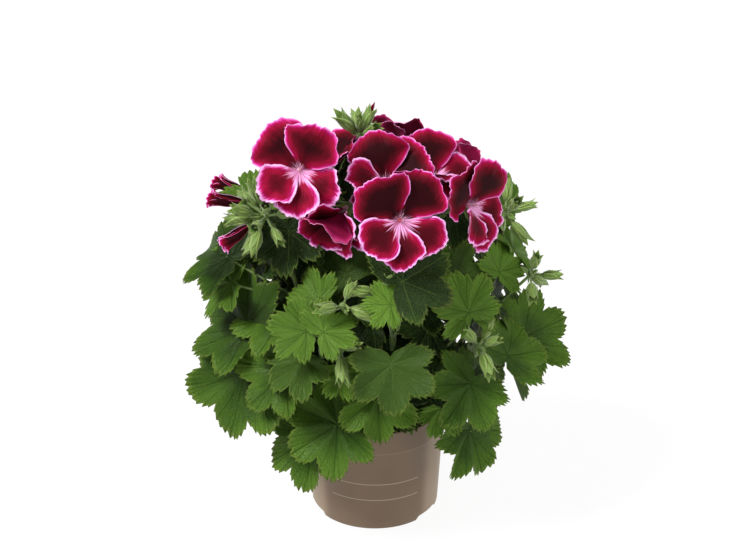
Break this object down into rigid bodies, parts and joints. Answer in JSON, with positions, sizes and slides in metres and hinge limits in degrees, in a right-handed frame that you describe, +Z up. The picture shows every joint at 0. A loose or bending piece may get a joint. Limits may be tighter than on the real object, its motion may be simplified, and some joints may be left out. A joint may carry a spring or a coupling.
{
  "type": "potted regal pelargonium",
  "caption": "Bushy flowering balcony plant with toothed palmate leaves and large ruffled dark crimson blooms, standing in a thin tapered nursery pot.",
  "frame": {"origin": "middle of the pot's underside, on the plane that it stands on", "axes": "+Z up, the plant's front towards -Y, its right-hand side towards +X"},
  "size_m": [0.3085, 0.2791, 0.3607],
  "materials": {
    "pot": "satin, taupe, thin thermoformed plastic",
    "soil": "crumbly, matt, almost black peat",
    "leaf": "softly hairy, slightly glossy living leaf and stem",
    "petal": "velvety, dark crimson with a pale pink frilled margin"
  },
  "bodies": {
    "root": {"pot": "pot", "soil": "soil", "stem_front_left": "leaf", "stem_left": "leaf", "stem_front": "leaf", "stem_front_low": "leaf", "stem_front_middle": "leaf", "stem_front_right": "leaf", "stem_right_low": "leaf", "stem_right": "leaf", "stem_back_right": "leaf", "stem_back": "leaf", "stem_back_left": "leaf", "stem_middle": "leaf", "flower_1": "petal", "flower_2": "petal", "flower_3": "petal", "flower_4": "petal", "flower_5": "petal", "flower_6": "petal", "flower_7": "petal", "flower_8": "petal", "flower_9": "petal", "flower_10": "petal", "flower_11": "petal", "opening_bud_1": "petal", "opening_bud_2": "petal", "opening_bud_3": "petal"}
  },
  "joints": []
}
